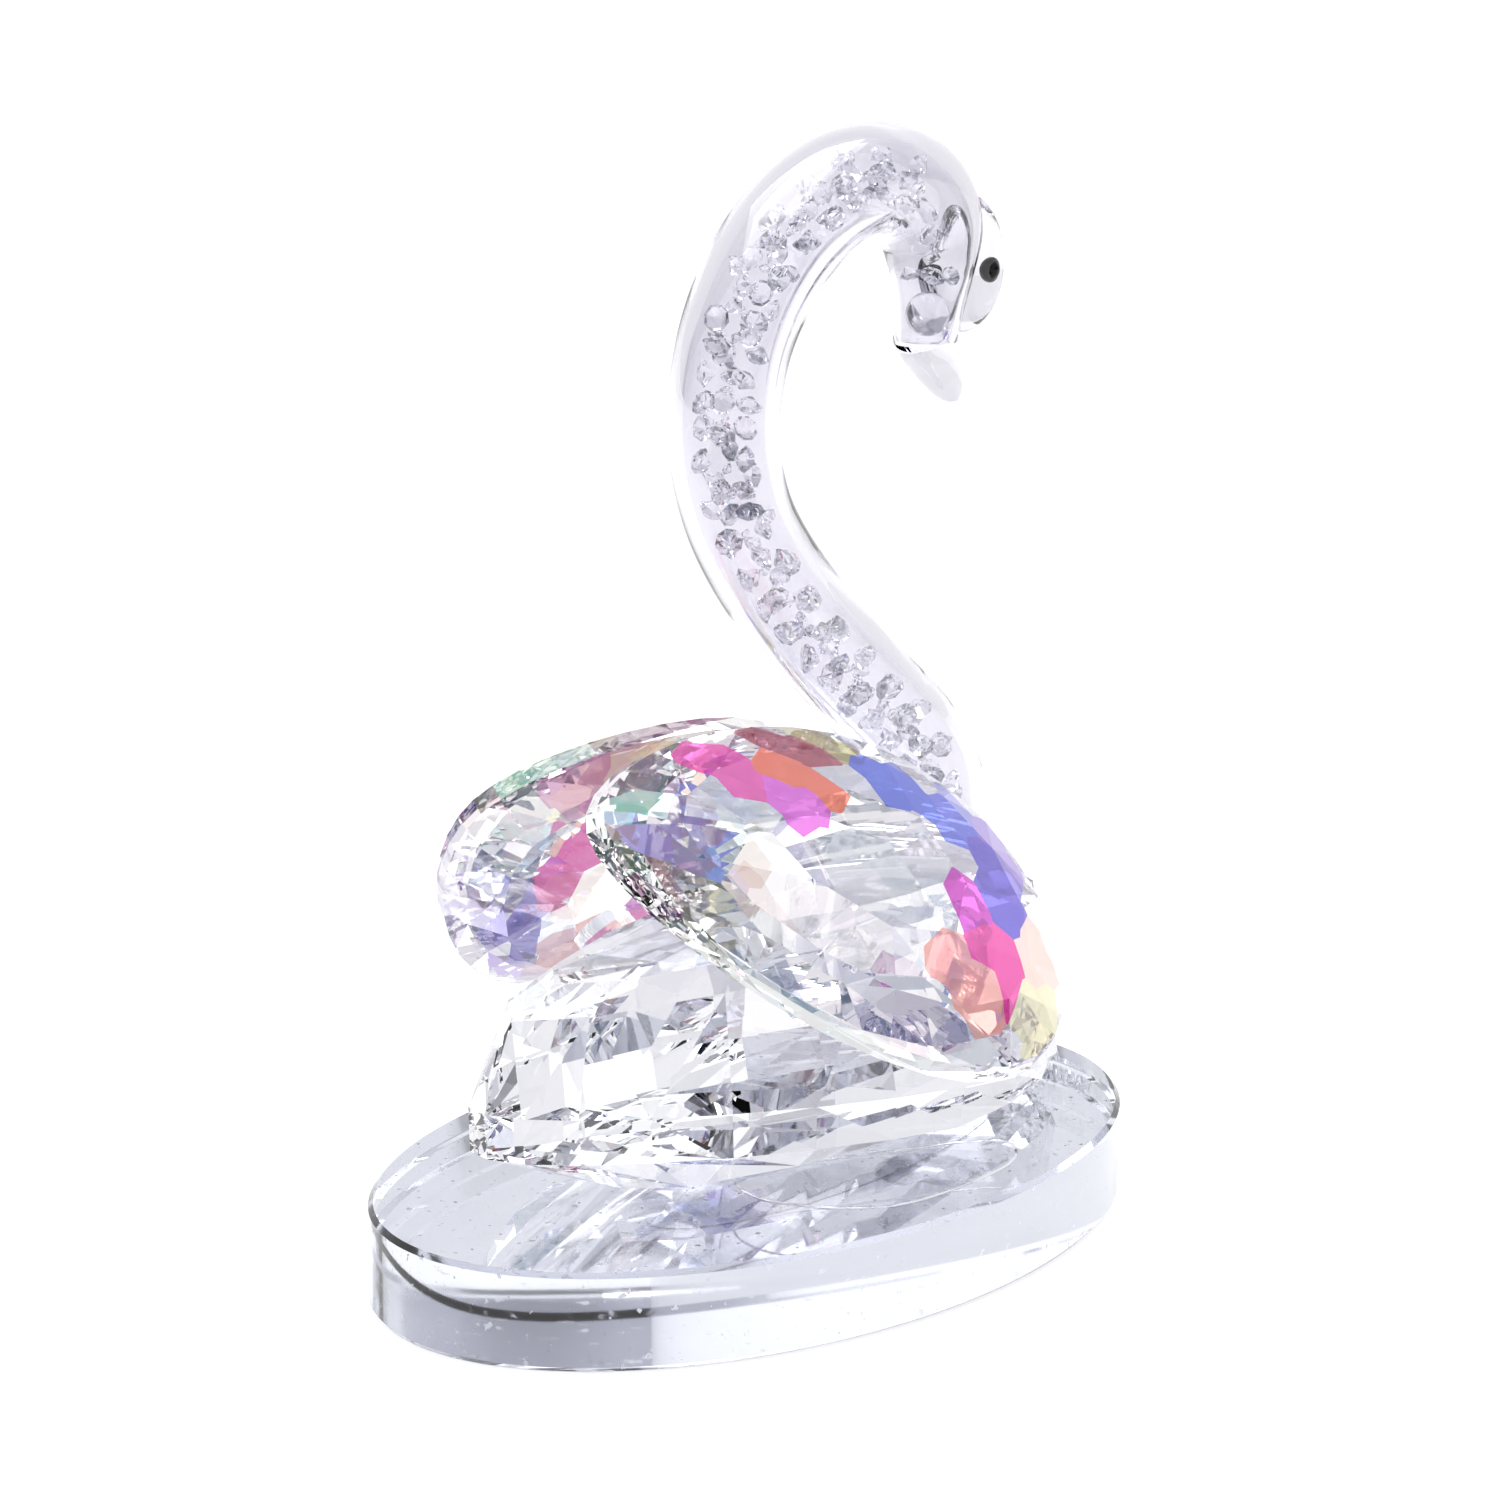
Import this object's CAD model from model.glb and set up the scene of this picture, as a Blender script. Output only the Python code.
import math

import bpy
import bmesh
from mathutils import Matrix, Vector


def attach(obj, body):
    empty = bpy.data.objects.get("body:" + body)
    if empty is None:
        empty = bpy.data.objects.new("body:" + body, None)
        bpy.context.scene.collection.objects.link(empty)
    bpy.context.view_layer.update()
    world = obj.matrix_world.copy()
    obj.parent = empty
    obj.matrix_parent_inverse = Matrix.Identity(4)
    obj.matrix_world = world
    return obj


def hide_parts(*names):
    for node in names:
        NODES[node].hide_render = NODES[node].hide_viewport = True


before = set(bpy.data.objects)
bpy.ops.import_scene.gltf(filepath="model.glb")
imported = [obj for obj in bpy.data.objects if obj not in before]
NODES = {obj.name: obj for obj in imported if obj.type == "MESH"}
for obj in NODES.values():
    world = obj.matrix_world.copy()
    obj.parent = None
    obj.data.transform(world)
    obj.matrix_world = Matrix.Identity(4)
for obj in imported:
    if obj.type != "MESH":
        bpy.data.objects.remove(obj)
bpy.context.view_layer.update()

MM = 0.001

# Camera: a long lens behind the swan's right side, a little above it
CAMERA_PLACE = Vector((-0.38176, -0.28251, 0.15637))
CAMERA_AZIMUTH = -53.33
CAMERA_ELEVATION = 12.515
CAMERA_ROLL = 0.744
CAMERA_LENS = 115.3
CAMERA_SENSOR = 36.0

GLASS_IOR = 1.52
CRYSTAL_IOR = 1.56
NECK_IOR = 1.5
STONE_IOR = 1.58
GLUE_IOR = 1.48

# Edges that turn by more than this stay sharp
CREASE = math.radians(28)

# Hairline clearance between touching glass pieces, mm
CLEARANCE = 0.02

# Base slab, mm: half axes, heights of its faces, bevel
BASE_HALF_LENGTH = 50.0
BASE_HALF_WIDTH = 30.49
BASE_BOTTOM = 0.12 + CLEARANCE
BASE_TOP = 9.95
BASE_BEVEL = 0.5
BASE_SEGMENTS = 288

# Line of glue squeezed out on the base's top, (x, y) in mm
GLUE_LINE = [(-10, -6), (-16, -12), (-13, -21), (-6, -25), (9, -25), (15, -20), (6, -14)]
GLUE_LINE_RADIUS = 0.16
GLUE_LINE_LIFT = 0.02
GLUE_LINE_GAP = 0.01
GLUE_LINE_RINGS_PER_SPAN = 14
GLUE_LINE_SEGMENTS = 12
GLUE_LINE_CREASE = math.radians(80)

# Neck in the middle plane, mm: (x, z, outer radius) from the foot to the throat.
# Half of these stations, from x = 15.6 up to x = 8.3 on the arch, are a measuring script's, rounded.
NECK_PATH = [
    (31.2, 33.65, 5.9),
    (31.0, 38.5, 5.85),
    (29.3, 43.8, 5.8),
    (25.2, 48.7, 5.75),
    (20.6, 52.4, 5.7),
    (15.6, 56.1, 5.7),
    (9.7, 60.6, 5.85),
    (4.2, 65.3, 5.85),
    (-0.5, 70.0, 5.75),
    (-4.1, 74.6, 5.65),
    (-6.3, 79.1, 5.6),
    (-7.3, 83.6, 5.65),
    (-7.1, 88.1, 5.7),
    (-5.9, 92.6, 5.8),
    (-3.5, 96.8, 5.95),
    (-0.3, 100.4, 6.05),
    (3.6, 103.4, 6.05),
    (8.3, 105.8, 5.9),
    (13.2, 107.2, 5.75),
    (17.6, 107.5, 5.8),
    (22.0, 106.7, 6.05),
    (25.5, 104.5, 6.0),
    (27.7, 101.2, 5.6),
    (28.1, 97.4, 4.6),
    (27.8, 93.7, 3.8),
    (27.3, 89.6, 3.3),
]
NECK_RINGS_PER_SPAN = 10
NECK_SEGMENTS = 72
NECK_SKIN = 0.99
BORE_RADIUS = 4.1
BORE_WALL = 0.75
BORE_THROAT = (27.3, 89.9, 2.55)
LOBE_CENTRE = (33.4, 0.0, 97.6)
LOBE_SEMI_AXES = (5.1, 4.4, 7.4)
EYE_CENTRE = (33.4, 3.45, 97.1)
EYE_SOCKET = 1.22
BEAK_ROOT = (26.8, 0.0, 91.0)
BEAK_DIRECTION = (5.9, 0.0, -7.9)
BEAK_LENGTH = 10.0
BEAK_RINGS_PER_SPAN = 6
BEAK_LEAST_RADIUS = 0.05
# (share of the beak's length, radius)
BEAK_PROFILE = [
    (0.0, 3.3), (0.2, 3.2), (0.45, 2.75), (0.7, 2.05), (0.88, 1.3), (0.97, 0.65), (0.995, 0.15),
]

# Right wing's own axes, mm: the left wing mirrors it
WING_CENTRE = (-7.6, -14.4, 40.4)
WING_LONG_AXIS = Vector((0.919, -0.226, -0.323))
WING_OUTWARD = Vector((0.042, -0.758, 0.651))
WING_ACROSS_AXIS = WING_OUTWARD.cross(WING_LONG_AXIS)

# Coating: size of a shard in mm, interference film, how strongly colour hides the glass, plain rim
COAT_CELL = 4.0
COAT_FILM_NANOMETRES = 560.0
COAT_FILM_IOR = 1.75
COAT_SATURATION_POWER = 2.4
COAT_VALUE_POWER = 0.75
COAT_VEIL = 0.55
RIM_HALF_DEPTH = 1.0
RIM_COLOUR = (0.80, 0.79, 0.84)

# Vivid zones of the coating on a wing's outer side, in its own axes: (along, across), radius, colour.
# Their places come from a separate script that laid one view of the wing on its middle plane, and
# their colours were judged by eye. Elsewhere the coating is nearly clear.
OUTER_ZONES = [
    ((-14, 7), 5, (214, 40, 150)),
    ((-8, 6), 4, (206, 50, 196)),
    ((-5, 10), 4, (226, 84, 40)),
    ((-4, 14), 4, (130, 24, 40)),
    ((4, 15), 4, (150, 140, 50)),
    ((9, 12), 5, (28, 66, 190)),
    ((17, 9), 5, (44, 70, 200)),
    ((21, 3), 5, (52, 36, 176)),
    ((24, 8), 4, (110, 64, 206)),
    ((14, -1), 4, (176, 24, 160)),
    ((16, -7), 4, (226, 30, 140)),
    ((10, -11), 5, (240, 120, 100)),
    ((24, -6), 5, (244, 180, 140)),
    ((22, -14), 5, (240, 226, 130)),
]
# The inner side is paler
INNER_ZONES = [
    ((-25, 8), 5, (232, 120, 206)),
    ((-18, -8), 5, (214, 186, 168)),
    ((-11, -3), 5, (244, 190, 172)),
]
CLEAR_COAT = (250, 248, 252)

# Dark card lying on the floor on the side the light tent is open, mm from the centre
CARD_NEAR = 88.0
CARD_FAR = 430.0
CARD_HALF_WIDTH = 150.0
CARD_HEIGHT = 0.4
CARD_COLOUR = (0.035, 0.04, 0.045)
CARD_HEADING = Vector((-0.80, -0.60, 0.0))

# Floor: radius in metres, drop below the object in mm, grey and glow
FLOOR_RADIUS = 6.0
FLOOR_DROP = 0.05
FLOOR_GREY = (0.42, 0.42, 0.42)
FLOOR_GLOW = 0.65

# Light tent: the way its opening faces, and the way its side panels face
TENT_OPENING = (-0.78, -0.60, 0.12)
TENT_SIDE = (0.6, -0.8, 0.0)

# Soft box overhead, in metres and watts
TOP_BOX_PLACE = (0.1, 0.1, 0.9)
TOP_BOX_AIM = (0, 0, 0.05)
TOP_BOX_SIZE = (0.8, 0.8)
TOP_BOX_POWER = 6.0


# ---------------------------------------------------------------- node helpers
def new_material(name):
    material = bpy.data.materials.new(name)
    material.use_nodes = True
    nodes = material.node_tree.nodes
    shader = nodes["Principled BSDF"]
    return material, nodes, material.node_tree.links, shader


def math_node(nodes, links, operation, first, second=None, third=None):
    """Math node whose inputs are numbers or sockets; returns its output."""
    node = nodes.new("ShaderNodeMath")
    node.operation = operation
    for socket, value in zip(node.inputs, (first, second, third)):
        if value is None:
            continue
        if isinstance(value, (int, float)):
            socket.default_value = value
        else:
            links.new(value, socket)
    return node.outputs[0]


def vector_dot(nodes, links, vector, direction):
    node = nodes.new("ShaderNodeVectorMath")
    node.operation = "DOT_PRODUCT"
    links.new(vector, node.inputs[0])
    node.inputs[1].default_value = Vector(direction).normalized()
    return node.outputs["Value"]


def srgb(red, green, blue):
    """Linear colour from screen values of 0 to 255."""
    linear = []
    for value in (red, green, blue):
        share = value / 255
        linear.append(share / 12.92 if share <= 0.04045 else ((share + 0.055) / 1.055) ** 2.4)
    return tuple(linear)


def mix_colour(nodes, links, factor, first, second):
    """Colour between first and second, each a socket or three numbers; the factor is a socket."""
    node = nodes.new("ShaderNodeMix")
    node.data_type = "RGBA"
    links.new(factor, node.inputs[0])
    for socket, value in ((node.inputs[6], first), (node.inputs[7], second)):
        if isinstance(value, tuple):
            socket.default_value = (*value, 1.0)
        else:
            links.new(value, socket)
    return node.outputs[2]


def multiply_colours(nodes, links, first, second):
    node = nodes.new("ShaderNodeMix")
    node.data_type = "RGBA"
    node.blend_type = "MULTIPLY"
    node.inputs[0].default_value = 1.0
    links.new(first, node.inputs[6])
    links.new(second, node.inputs[7])
    return node.outputs[2]


def ramp(nodes, links, value, stops):
    node = nodes.new("ShaderNodeValToRGB")
    elements = node.color_ramp.elements
    while len(elements) < len(stops):
        elements.new(0.5)
    for element, (position, colour) in zip(elements, stops):
        element.position = position
        element.color = (*colour, 1.0)
    links.new(value, node.inputs[0])
    return node.outputs[0]


def object_coordinates(nodes):
    return nodes.new("ShaderNodeTexCoord").outputs["Object"]


def noise(nodes, links, scale, detail):
    """Noise fixed to the object."""
    node = nodes.new("ShaderNodeTexNoise")
    node.inputs["Scale"].default_value = scale
    node.inputs["Detail"].default_value = detail
    links.new(object_coordinates(nodes), node.inputs["Vector"])
    return node.outputs["Fac"]


def add_bump(nodes, links, shader, height, distance, strength):
    node = nodes.new("ShaderNodeBump")
    node.inputs["Strength"].default_value = strength
    node.inputs["Distance"].default_value = distance
    links.new(height, node.inputs["Height"])
    links.new(node.outputs[0], shader.inputs["Normal"])


def make_glass(shader, colour, ior):
    """Clear polished glass."""
    shader.inputs["Base Color"].default_value = (*colour, 1.0)
    shader.inputs["Transmission Weight"].default_value = 1.0
    shader.inputs["IOR"].default_value = ior
    shader.inputs["Roughness"].default_value = 0.0


# ---------------------------------------------------------------- materials
def specks(nodes, links, scale, threshold):
    """Mask of small scattered marks, 1 on the mark and 0 elsewhere."""
    spots = noise(nodes, links, scale, 3.0)
    above = math_node(nodes, links, "SUBTRACT", spots, threshold)
    steep = math_node(nodes, links, "MULTIPLY", above, 12.0)
    return math_node(nodes, links, "SMOOTH_MAX", steep, 0.0, 0.01)


def base_glass_material():
    """Clear slab with a light haze of dust and fine rubbing marks."""
    material, nodes, links, shader = new_material("base_glass")
    make_glass(shader, (0.86, 0.885, 0.93), GLASS_IOR)
    dust = specks(nodes, links, 900.0, 0.66)
    haze = math_node(nodes, links, "MINIMUM", dust, 0.45)
    links.new(haze, shader.inputs["Roughness"])
    scratch = noise(nodes, links, 240.0, 4.0)
    add_bump(nodes, links, shader, scratch, 0.000004, 0.25)
    return material


def mirror_material():
    material, nodes, links, shader = new_material("mirror_film")
    shader.inputs["Metallic"].default_value = 1.0
    patina = noise(nodes, links, 60.0, 4.0)
    colour = ramp(nodes, links, patina, [(0.3, (0.84, 0.845, 0.88)), (0.7, (0.90, 0.90, 0.93))])
    links.new(colour, shader.inputs["Base Color"])
    shader.inputs["Roughness"].default_value = 0.03
    return material


def body_crystal_material():
    """Clear lead crystal, very slightly wavy under its polish."""
    material, nodes, links, shader = new_material("body_crystal")
    make_glass(shader, (0.88, 0.88, 0.905), GLASS_IOR)
    wave = noise(nodes, links, 45.0, 1.0)
    add_bump(nodes, links, shader, wave, 0.00004, 0.3)
    return material


def wing_axes(nodes, links):
    """Position on a wing in mm: along it, across it, and outwards from its middle plane."""
    split = nodes.new("ShaderNodeSeparateXYZ")
    links.new(object_coordinates(nodes), split.inputs[0])
    side = math_node(nodes, links, "ABSOLUTE", split.outputs[1])
    right_side = math_node(nodes, links, "MULTIPLY", side, -1.0)
    joined = nodes.new("ShaderNodeCombineXYZ")
    places = (split.outputs[0], right_side, split.outputs[2])
    for socket, value, centre in zip(joined.inputs, places, WING_CENTRE):
        millimetres = math_node(nodes, links, "MULTIPLY", value, 1000.0)
        links.new(math_node(nodes, links, "SUBTRACT", millimetres, centre), socket)
    along = vector_dot(nodes, links, joined.outputs[0], WING_LONG_AXIS)
    across = vector_dot(nodes, links, joined.outputs[0], WING_ACROSS_AXIS)
    outward = vector_dot(nodes, links, joined.outputs[0], WING_OUTWARD)
    return along, across, outward


def coat_colour(nodes, links, place, zones):
    """Clear, with each zone's colour where the shard's centre falls inside its circle."""
    colour = srgb(*CLEAR_COAT)
    for (along, across), radius, screen in zones:
        gap = nodes.new("ShaderNodeVectorMath")
        gap.operation = "DISTANCE"
        links.new(place, gap.inputs[0])
        gap.inputs[1].default_value = (along, across, 0.0)
        inside = math_node(nodes, links, "LESS_THAN", gap.outputs["Value"], float(radius))
        colour = mix_colour(nodes, links, inside, colour, srgb(*screen))
    return colour


def coated_crystal_material():
    """Crystal under a rainbow coating whose colour changes from shard to shard."""
    material, nodes, links, shader = new_material("coated_crystal")
    make_glass(shader, (0.95, 0.94, 0.96), CRYSTAL_IOR)
    along, across, outward = wing_axes(nodes, links)
    flat = nodes.new("ShaderNodeCombineXYZ")
    links.new(along, flat.inputs[0])
    links.new(across, flat.inputs[1])
    cells = nodes.new("ShaderNodeTexVoronoi")
    cells.voronoi_dimensions = "2D"
    cells.inputs["Scale"].default_value = 1.0 / COAT_CELL
    links.new(flat.outputs[0], cells.inputs["Vector"])
    outer = coat_colour(nodes, links, cells.outputs["Position"], OUTER_ZONES)
    inner = coat_colour(nodes, links, cells.outputs["Position"], INNER_ZONES)
    is_outer = math_node(nodes, links, "GREATER_THAN", outward, 0.0)
    coat = mix_colour(nodes, links, is_outer, inner, outer)
    depth = math_node(nodes, links, "ABSOLUTE", outward)
    on_rim = math_node(nodes, links, "LESS_THAN", depth, RIM_HALF_DEPTH)
    coat = mix_colour(nodes, links, on_rim, coat, RIM_COLOUR)
    parts = nodes.new("ShaderNodeSeparateColor")
    parts.mode = "HSV"
    links.new(coat, parts.inputs[0])
    vivid = math_node(nodes, links, "POWER", parts.outputs[1], COAT_SATURATION_POWER)
    tint = nodes.new("ShaderNodeCombineColor")
    tint.mode = "HSV"
    links.new(parts.outputs[0], tint.inputs[0])
    links.new(vivid, tint.inputs[1])
    lit = math_node(nodes, links, "POWER", parts.outputs[2], COAT_VALUE_POWER)
    links.new(lit, tint.inputs[2])
    links.new(tint.outputs[0], shader.inputs["Base Color"])
    veil = math_node(nodes, links, "MULTIPLY", vivid, -COAT_VEIL)
    clear = math_node(nodes, links, "ADD", veil, 1.0)
    links.new(clear, shader.inputs["Transmission Weight"])
    shader.inputs["Thin Film Thickness"].default_value = COAT_FILM_NANOMETRES
    shader.inputs["Thin Film IOR"].default_value = COAT_FILM_IOR
    return material


def neck_glass_material():
    """Flame-worked tube: faintly grey glass with a soft ripple along it."""
    material, nodes, links, shader = new_material("neck_glass")
    make_glass(shader, (0.82, 0.81, 0.855), NECK_IOR)
    ripple = noise(nodes, links, 70.0, 1.0)
    add_bump(nodes, links, shader, ripple, 0.00008, 0.3)
    return material


def stone_material():
    """Bright cut stones; a few have a greyer foil."""
    material, nodes, links, shader = new_material("stone_crystal")
    make_glass(shader, (0.97, 0.97, 0.99), STONE_IOR)
    foil = noise(nodes, links, 420.0, 1.0)
    colour = ramp(nodes, links, foil, [
        (0.34, (0.25, 0.26, 0.30)),
        (0.40, (0.97, 0.97, 0.99)),
        (1.0, (0.99, 0.99, 1.0)),
    ])
    links.new(colour, shader.inputs["Base Color"])
    return material


def glue_material():
    material, nodes, links, shader = new_material("clear_glue")
    make_glass(shader, (0.97, 0.97, 0.96), GLUE_IOR)
    lumps = noise(nodes, links, 300.0, 2.0)
    add_bump(nodes, links, shader, lumps, 0.00005, 0.4)
    return material


def eye_material():
    material, nodes, links, shader = new_material("eye_black")
    shader.inputs["Base Color"].default_value = (0.004, 0.004, 0.005, 1.0)
    bead = noise(nodes, links, 500.0, 2.0)
    gloss = ramp(nodes, links, bead, [(0.3, (0.04, 0.04, 0.04)), (0.8, (0.12, 0.12, 0.12))])
    links.new(gloss, shader.inputs["Roughness"])
    shader.inputs["Specular IOR Level"].default_value = 0.18
    return material


def assign(node_names, material):
    for name in node_names:
        mesh = NODES[name].data
        mesh.materials.clear()
        mesh.materials.append(material)


# ---------------------------------------------------------------- pieces
def spline(points, closed=False, per_span=NECK_RINGS_PER_SPAN):
    """Smooth curve through points, given as tuples of any length."""
    count = len(points)
    spans = count if closed else count - 1
    curve = []
    for i in range(spans):
        if closed:
            four = [points[(i + shift) % count] for shift in (-1, 0, 1, 2)]
        else:
            four = [points[min(max(i + shift, 0), count - 1)] for shift in (-1, 0, 1, 2)]
        for step in range(per_span):
            t = step / per_span
            curve.append(tuple(catmull_rom(values, t) for values in zip(*four)))
    if not closed:
        curve.append(tuple(points[-1]))
    return curve


def catmull_rom(values, t):
    before, start, end, after = values
    slope_in = (end - before) / 2
    slope_out = (after - start) / 2
    rise = end - start
    cubic = slope_in + slope_out - 2 * rise
    square = 3 * rise - 2 * slope_in - slope_out
    return start + slope_in * t + square * t ** 2 + cubic * t ** 3


def bridge(build, lower, upper):
    """Quads between two closed rings of vertices."""
    count = len(lower)
    faces = []
    for i in range(count):
        j = (i + 1) % count
        faces.append(build.faces.new((lower[i], lower[j], upper[j], upper[i])))
    return faces


def closed_tube(build, rings, flip=False):
    """Tube with flat ends from rings of points in mm; flip turns it inside out."""
    rows = [[build.verts.new(Vector(point) * MM) for point in ring] for ring in rings]
    faces = []
    for lower, upper in zip(rows, rows[1:]):
        faces += bridge(build, lower, upper)
    faces.append(build.faces.new(list(reversed(rows[0]))))
    faces.append(build.faces.new(rows[-1]))
    bmesh.ops.recalc_face_normals(build, faces=faces)
    if flip:
        bmesh.ops.reverse_faces(build, faces=faces)
    return faces


def ring_about(centre, first, second, radius, segments):
    """Circle of points in mm around a centre, in the plane of two unit directions."""
    ring = []
    for i in range(segments):
        turn = 2 * math.pi * i / segments
        ring.append(centre + radius * (math.cos(turn) * first + math.sin(turn) * second))
    return ring


def neck_rings(path):
    """Rings across the neck, square to its curve and level at both ends."""
    curve = spline(path)
    last = len(curve) - 1
    side = Vector((0.0, 1.0, 0.0))
    rings = []
    for i, (x, z, radius) in enumerate(curve):
        x0, z0, _ = curve[max(i - 1, 0)]
        x1, z1, _ = curve[min(i + 1, last)]
        along = Vector((x1 - x0, 0.0, z1 - z0)).normalized()
        if i in (0, last):
            along = Vector((0.0, 0.0, 1.0 if i == 0 else -1.0))
        rings.append(ring_about(Vector((x, 0.0, z)), side, along.cross(side), radius, NECK_SEGMENTS))
    return rings


def mesh_object(name, build):
    mesh = bpy.data.meshes.new(name)
    build.normal_update()
    build.to_mesh(mesh)
    build.free()
    piece = bpy.data.objects.new(name, mesh)
    bpy.context.collection.objects.link(piece)
    return piece


def ellipsoid(name, centre, semi_axes):
    build = bmesh.new()
    bmesh.ops.create_uvsphere(build, u_segments=72, v_segments=48, radius=1.0)
    for vert in build.verts:
        for axis in range(3):
            vert.co[axis] = (vert.co[axis] * semi_axes[axis] + centre[axis]) * MM
    return mesh_object(name, build)


def beak_blank():
    axis = Vector(BEAK_DIRECTION).normalized()
    side = Vector((0.0, 1.0, 0.0))
    rings = []
    for share, radius in spline(BEAK_PROFILE, per_span=BEAK_RINGS_PER_SPAN):
        centre = Vector(BEAK_ROOT) + axis * share * BEAK_LENGTH
        radius = max(radius, BEAK_LEAST_RADIUS)
        rings.append(ring_about(centre, side, axis.cross(side), radius, NECK_SEGMENTS))
    build = bmesh.new()
    closed_tube(build, rings)
    return mesh_object("beak_blank", build)


def combine(piece, others, operation):
    """Join or cut the piece with the others, which are used up."""
    for other in others:
        modifier = piece.modifiers.new("join", "BOOLEAN")
        modifier.operation = operation
        modifier.solver = "EXACT"
        modifier.object = other
        graph = bpy.context.evaluated_depsgraph_get()
        mesh = bpy.data.meshes.new_from_object(piece.evaluated_get(graph))
        piece.modifiers.clear()
        piece.data = mesh
        bpy.data.objects.remove(other)


def smooth_but_creased(mesh, crease=CREASE):
    """Smooth shading that keeps real corners sharp."""
    build = bmesh.new()
    build.from_mesh(mesh)
    for face in build.faces:
        face.smooth = True
    for edge in build.edges:
        edge.smooth = not (edge.is_manifold and edge.calc_face_angle(0.0) > crease)
    build.to_mesh(mesh)
    build.free()


def add_neck():
    """Tube, forehead and beak fused to one skin, with the bore inside."""
    build = bmesh.new()
    skin = [(x, z, radius * NECK_SKIN) for x, z, radius in NECK_PATH]
    closed_tube(build, neck_rings(skin))
    neck = mesh_object("neck_and_head", build)
    combine(neck, [ellipsoid("lobe_blank", LOBE_CENTRE, LOBE_SEMI_AXES), beak_blank()], "UNION")
    x, y, z = EYE_CENTRE
    sockets = [ellipsoid("socket", (x, side * y, z), (EYE_SOCKET,) * 3) for side in (-1, 1)]
    combine(neck, sockets, "DIFFERENCE")
    bore = [(x, z, min(BORE_RADIUS, radius - BORE_WALL)) for x, z, radius in NECK_PATH[1:-1]]
    build = bmesh.new()
    build.from_mesh(neck.data)
    closed_tube(build, neck_rings(bore + [BORE_THROAT]), flip=True)
    build.to_mesh(neck.data)
    build.free()
    smooth_but_creased(neck.data)
    neck.data.materials.clear()
    neck.data.materials.append(neck_glass_material())
    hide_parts("neck_tube", "head_lobe", "beak")
    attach(neck, "root")


def oval_ring(inset, height):
    ring = []
    for i in range(BASE_SEGMENTS):
        turn = 2 * math.pi * i / BASE_SEGMENTS
        x = (BASE_HALF_LENGTH - inset) * math.cos(turn)
        y = (BASE_HALF_WIDTH - inset) * math.sin(turn)
        ring.append((x, y, height))
    return ring


def add_base(film):
    """Glass slab whose underside is silvered."""
    bevel = BASE_BEVEL
    rings = [
        oval_ring(bevel, BASE_BOTTOM),
        oval_ring(0.0, BASE_BOTTOM + bevel),
        oval_ring(0.0, BASE_TOP - bevel),
        oval_ring(bevel, BASE_TOP),
    ]
    build = bmesh.new()
    faces = closed_tube(build, rings)
    build.normal_update()
    for face in faces:
        if face.normal.z < -0.99:
            face.material_index = 1
    slab = mesh_object("base_slab_silvered", build)
    smooth_but_creased(slab.data)
    slab.data.materials.append(base_glass_material())
    slab.data.materials.append(film)
    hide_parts("base_slab")
    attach(slab, "root")


def add_glue(name, material):
    """Copy of a glue film or pad, shrunk by the clearance so that no two faces coincide."""
    build = bmesh.new()
    build.from_mesh(NODES[name].data)
    bmesh.ops.remove_doubles(build, verts=build.verts, dist=0.001 * MM)
    build.normal_update()
    moves = [(vert, vert.normal * CLEARANCE * MM) for vert in build.verts]
    for vert, move in moves:
        vert.co -= move
    piece = mesh_object(name + "_inset", build)
    piece.data.materials.append(material)
    smooth_but_creased(piece.data)
    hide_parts(name)
    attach(piece, "root")


def add_glue_line(material):
    """Thin uneven line of glue squeezed out on the base."""
    curve = spline(GLUE_LINE, closed=True, per_span=GLUE_LINE_RINGS_PER_SPAN)
    count = len(curve)
    build = bmesh.new()
    rows = []
    for i, (x, y) in enumerate(curve):
        x1, y1 = curve[(i + 1) % count]
        along = Vector((x1 - x, y1 - y, 0.0)).normalized()
        up = Vector((0.0, 0.0, 1.0))
        radius = GLUE_LINE_RADIUS * (1.0 + 0.35 * math.sin(i * 0.7) * math.sin(i * 0.23))
        centre = Vector((x, y, BASE_TOP + GLUE_LINE_LIFT))
        ring = [
            Vector((point.x, point.y, max(point.z, BASE_TOP + GLUE_LINE_GAP)))
            for point in ring_about(centre, up.cross(along), up, radius, GLUE_LINE_SEGMENTS)
        ]
        rows.append([build.verts.new(point * MM) for point in ring])
    faces = []
    for i in range(count):
        faces += bridge(build, rows[i], rows[(i + 1) % count])
    bmesh.ops.recalc_face_normals(build, faces=faces)
    line = mesh_object("glue_line", build)
    smooth_but_creased(line.data, GLUE_LINE_CREASE)
    line.data.materials.append(material)
    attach(line, "root")


# ---------------------------------------------------------------- stage
def add_floor():
    mesh = bpy.data.meshes.new("floor")
    build = bmesh.new()
    bmesh.ops.create_circle(build, cap_ends=True, segments=96, radius=FLOOR_RADIUS)
    build.to_mesh(mesh)
    build.free()
    floor = bpy.data.objects.new("floor", mesh)
    floor.location.z = -FLOOR_DROP * MM
    bpy.context.collection.objects.link(floor)
    material, nodes, links, shader = new_material("floor")
    shader.inputs["Base Color"].default_value = (*FLOOR_GREY, 1.0)
    shader.inputs["Roughness"].default_value = 0.9
    shader.inputs["Emission Color"].default_value = (1.0, 1.0, 1.0, 1.0)
    shader.inputs["Emission Strength"].default_value = FLOOR_GLOW
    mesh.materials.append(material)


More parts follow.
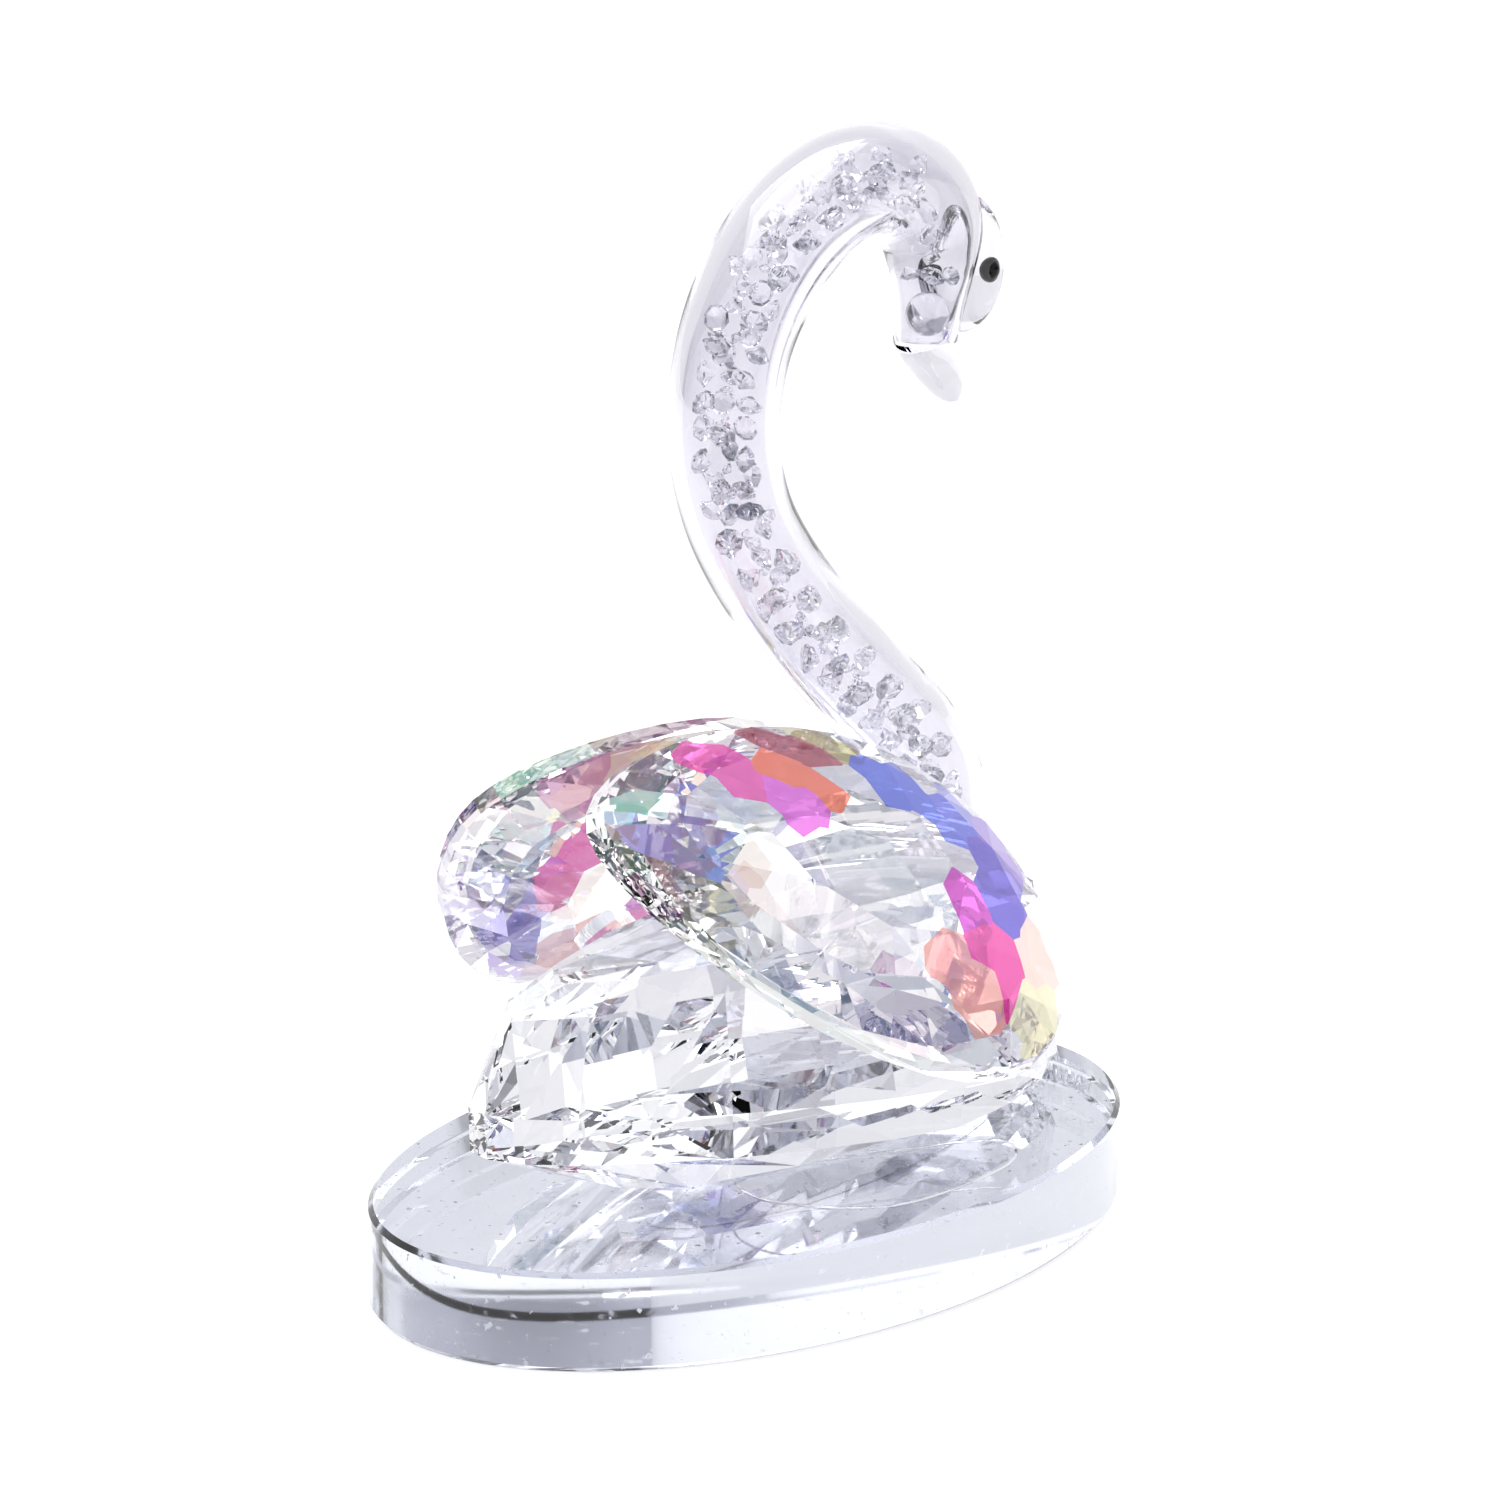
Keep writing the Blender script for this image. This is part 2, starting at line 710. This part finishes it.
def add_card():
    """Dark card on the floor in front of the object, out of the picture."""
    across = Vector((-CARD_HEADING.y, CARD_HEADING.x, 0.0))
    build = bmesh.new()
    corners = [(CARD_NEAR, -1), (CARD_FAR, -1), (CARD_FAR, 1), (CARD_NEAR, 1)]
    points = [CARD_HEADING * reach + across * side * CARD_HALF_WIDTH for reach, side in corners]
    lift = Vector((0.0, 0.0, CARD_HEIGHT))
    build.faces.new([build.verts.new((point + lift) * MM) for point in points])
    card = mesh_object("dark_card", build)
    material, nodes, links, shader = new_material("dark_card")
    shader.inputs["Base Color"].default_value = (*CARD_COLOUR, 1.0)
    shader.inputs["Roughness"].default_value = 0.8
    card.data.materials.append(material)


def add_world():
    """White light tent with greyer side panels and a gap where it is shot through."""
    world = bpy.data.worlds.new("tent")
    bpy.context.scene.world = world
    world.use_nodes = True
    nodes = world.node_tree.nodes
    links = world.node_tree.links
    background = nodes["Background"]
    direction = nodes.new("ShaderNodeTexCoord").outputs["Generated"]
    towards = vector_dot(nodes, links, direction, TENT_OPENING)
    camera_gap = ramp(nodes, links, towards, [
        (0.0, (1.0, 1.0, 1.0)),
        (0.93, (1.0, 1.0, 1.0)),
        (0.96, (0.50, 0.51, 0.53)),
        (1.0, (0.36, 0.37, 0.39)),
    ])
    across = math_node(nodes, links, "ABSOLUTE", vector_dot(nodes, links, direction, TENT_SIDE))
    side_panels = ramp(nodes, links, across, [
        (0.0, (1.0, 1.0, 1.0)),
        (0.78, (1.0, 1.0, 1.0)),
        (0.84, (0.70, 0.70, 0.74)),
        (0.935, (0.60, 0.60, 0.65)),
        (0.955, (0.10, 0.10, 0.12)),
        (1.0, (0.07, 0.07, 0.08)),
    ])
    height = vector_dot(nodes, links, direction, (0.0, 0.0, 1.0))
    walls = ramp(nodes, links, height, [
        (0.0, (0.98, 0.98, 1.0)),
        (0.35, (0.94, 0.94, 0.97)),
        (0.62, (0.86, 0.86, 0.90)),
        (0.74, (1.2, 1.2, 1.22)),
    ])
    colour = multiply_colours(nodes, links, walls, camera_gap)
    colour = multiply_colours(nodes, links, colour, side_panels)
    links.new(colour, background.inputs["Color"])
    background.inputs["Strength"].default_value = 1.0


def add_area(name, place, aim, size, power):
    light = bpy.data.lights.new(name, "AREA")
    light.shape = "RECTANGLE"
    light.size, light.size_y = size
    light.energy = power
    lamp = bpy.data.objects.new(name, light)
    lamp.location = place
    lamp.rotation_euler = (Vector(aim) - Vector(place)).to_track_quat("-Z", "Y").to_euler()
    bpy.context.collection.objects.link(lamp)


def add_camera():
    azimuth = math.radians(CAMERA_AZIMUTH)
    elevation = math.radians(CAMERA_ELEVATION)
    roll = math.radians(CAMERA_ROLL)
    back = Vector((
        math.sin(azimuth) * math.cos(elevation),
        -math.cos(azimuth) * math.cos(elevation),
        math.sin(elevation),
    ))
    level_right = Vector((math.cos(azimuth), math.sin(azimuth), 0.0))
    level_up = back.cross(level_right)
    right = level_right * math.cos(roll) + level_up * math.sin(roll)
    up = level_up * math.cos(roll) - level_right * math.sin(roll)
    data = bpy.data.cameras.new("camera")
    data.sensor_width = CAMERA_SENSOR
    data.lens = CAMERA_LENS
    data.clip_end = 20.0
    camera = bpy.data.objects.new("camera", data)
    turn = Matrix((right, up, back)).transposed().to_4x4()
    camera.matrix_world = Matrix.Translation(CAMERA_PLACE) @ turn
    bpy.context.collection.objects.link(camera)
    bpy.context.scene.camera = camera


def set_look():
    scene = bpy.context.scene
    scene.view_settings.view_transform = "Standard"
    scene.cycles.max_bounces = 24
    scene.cycles.transmission_bounces = 24
    scene.cycles.glossy_bounces = 12
    scene.cycles.sample_clamp_indirect = 6.0
    scene.cycles.blur_glossy = 0.3


film_material = mirror_material()
glue = glue_material()
add_base(film_material)
add_neck()
add_glue_line(glue)
assign(["base_mirror_film"], film_material)
assign(["body_crystal"], body_crystal_material())
assign(["wing_right", "wing_left"], coated_crystal_material())
assign(["neck_chatons", "neck_chips", "throat_ball"], stone_material())
for name in [name for name in NODES if "pad" in name or "glue" in name]:
    add_glue(name, glue)
assign(["eye_right", "eye_left"], eye_material())
add_floor()
add_card()
add_world()
add_area("top_box", TOP_BOX_PLACE, TOP_BOX_AIM, TOP_BOX_SIZE, TOP_BOX_POWER)
add_camera()
set_look()
